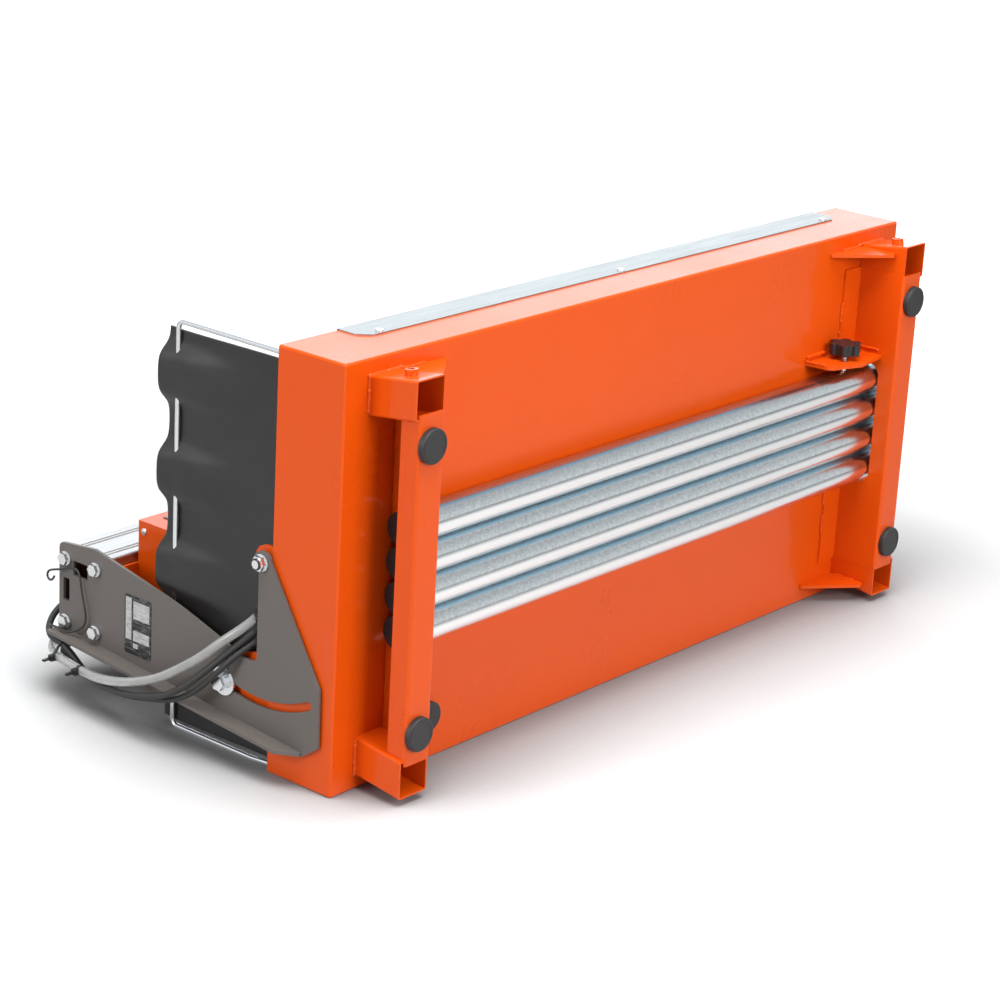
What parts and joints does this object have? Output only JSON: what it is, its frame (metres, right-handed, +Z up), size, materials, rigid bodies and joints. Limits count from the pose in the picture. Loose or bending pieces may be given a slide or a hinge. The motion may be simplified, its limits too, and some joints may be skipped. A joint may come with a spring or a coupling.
{
  "type": "bridge tile saw",
  "caption": "Rail-guided wet tile saw with bevelling bridge, sheet-metal water pan and legs stowed under it, lying on one long side.",
  "frame": {"origin": "centre of the bounding box's base, without the free hose and cables", "axes": "+Z up as it lies, across the pan's width; +X along the pan's length from the near end; +Y from the pan's floor towards table and rail"},
  "size_m": [1.1357, 0.5413, 0.5037],
  "materials": {
    "orange_paint": "gloss",
    "grey_paint": "satin",
    "galvanised_tube": "satin",
    "zinc_steel": "satin",
    "stainless_strip": "satin",
    "beam_aluminium": "satin",
    "black_plastic": "matte",
    "black_rubber": "matte",
    "clear_hose": "gloss",
    "label_foil": "satin",
    "switch_red": "gloss",
    "motor_aluminium": "satin",
    "blade_steel": "satin"
  },
  "bodies": {
    "frame": {"pan": "orange_paint", "side_strip": "stainless_strip", "strip_screws": "zinc_steel", "drain_bush": "black_plastic", "pivot_plate_near": "orange_paint", "pivot_plate_far": "orange_paint", "pivot_bolts": "zinc_steel", "clamp_hardware": "zinc_steel", "table": "stainless_strip", "table_supports": "grey_paint", "fence": "stainless_strip", "water_pump": "black_plastic", "splash_flap": "black_rubber", "flap_bail": "zinc_steel", "foot_rail_near": "orange_paint", "foot_rail_far": "orange_paint", "leg_socket_near_low": "orange_paint", "leg_socket_near_high": "orange_paint", "leg_socket_far_low": "orange_paint", "leg_socket_far_high": "orange_paint", "socket_gussets": "orange_paint", "weld_nuts": "orange_paint", "rubber_feet": "black_rubber", "leg_clamp_plate": "orange_paint"},
    "bridge": {"bracket_near": "grey_paint", "bracket_far": "grey_paint", "beam_bolts": "zinc_steel", "rail_beam": "beam_aluminium", "type_plate": "label_foil", "water_hose": "clear_hose", "power_cable": "black_rubber", "pump_lead": "black_rubber", "tie_cord": "black_rubber", "cord_fittings": "black_plastic"},
    "head": {"trolley": "orange_paint", "head_box": "orange_paint", "motor": "motor_aluminium", "fan_cover": "black_plastic", "blade_guard": "orange_paint", "head_handle": "black_plastic", "switch_case": "black_plastic"},
    "blade_spindle": {"spindle": "blade_steel", "blade": "blade_steel", "blade_flanges": "blade_steel"},
    "trolley_axle_near": {"wheelset_near": "black_plastic"},
    "trolley_axle_far": {"wheelset_far": "black_plastic"},
    "switch": {"switch_rocker": "switch_red"},
    "leg_clamp": {"leg_clamp_knob": "black_plastic", "leg_clamp_screw": "zinc_steel"},
    "bevel_clamp": {"bevel_knob": "black_plastic", "bevel_knob_screw": "zinc_steel"},
    "drain_cap": {"drain_plug": "black_plastic"},
    "leg_1": {"leg_tube_1": "galvanised_tube", "leg_caps_1": "black_plastic"},
    "leg_2": {"leg_tube_2": "galvanised_tube", "leg_caps_2": "black_plastic"},
    "leg_3": {"leg_tube_3": "galvanised_tube", "leg_caps_3": "black_plastic"},
    "leg_4": {"leg_tube_4": "galvanised_tube", "leg_caps_4": "black_plastic"}
  },
  "joints": [
    {"name": "bevel", "type": "hinge", "parent": "frame", "child": "bridge", "pos_m": [-0.53, -0.0825, 0.25], "axis": [1, 0, 0], "range_deg": [0, 45]},
    {"name": "head_travel", "type": "slide", "parent": "bridge", "child": "head", "axis": [1, 0, 0], "range_m": [0, 0.69]},
    {"name": "blade_spin", "type": "hinge", "parent": "head", "child": "blade_spindle", "pos_m": [-0.365, 0.0305, 0.25], "axis": [0, 0, 1], "continuous": true},
    {"name": "axle_near_roll", "type": "hinge", "parent": "head", "child": "trolley_axle_near", "pos_m": [-0.445, 0.19, 0.127], "axis": [0, 0, 1], "continuous": true},
    {"name": "axle_far_roll", "type": "hinge", "parent": "head", "child": "trolley_axle_far", "pos_m": [-0.305, 0.19, 0.127], "axis": [0, 0, 1], "continuous": true},
    {"name": "switch_press", "type": "hinge", "parent": "head", "child": "switch", "pos_m": [-0.245, 0.1355, 0.191], "axis": [0, 1, 0], "range_deg": [-8, 8]},
    {"name": "leg_clamp_turn", "type": "hinge", "parent": "frame", "child": "leg_clamp", "pos_m": [0.395, -0.2145, 0.348], "axis": [0, 0, 1], "range_deg": [0, 360]},
    {"name": "bevel_clamp_turn", "type": "hinge", "parent": "frame", "child": "bevel_clamp", "pos_m": [0.54, -0.02846, 0.09304], "axis": [1, 0, 0], "range_deg": [0, 360]},
    {"name": "drain_pull", "type": "slide", "parent": "frame", "child": "drain_cap", "axis": [0, -1, 0], "range_m": [0, 0.03]},
    {"name": "leg_1_draw", "type": "slide", "parent": "frame", "child": "leg_1", "axis": [-1, 0, 0], "range_m": [0, 0.85]},
    {"name": "leg_2_draw", "type": "slide", "parent": "frame", "child": "leg_2", "axis": [-1, 0, 0], "range_m": [0, 0.85]},
    {"name": "leg_3_draw", "type": "slide", "parent": "frame", "child": "leg_3", "axis": [-1, 0, 0], "range_m": [0, 0.85]},
    {"name": "leg_4_draw", "type": "slide", "parent": "frame", "child": "leg_4", "axis": [-1, 0, 0], "range_m": [0, 0.85]}
  ],
  "couplings": [
    {"joint": "axle_near_roll", "follows": "head_travel", "rad_per_m": -88.496},
    {"joint": "axle_far_roll", "follows": "head_travel", "rad_per_m": -88.496}
  ]
}
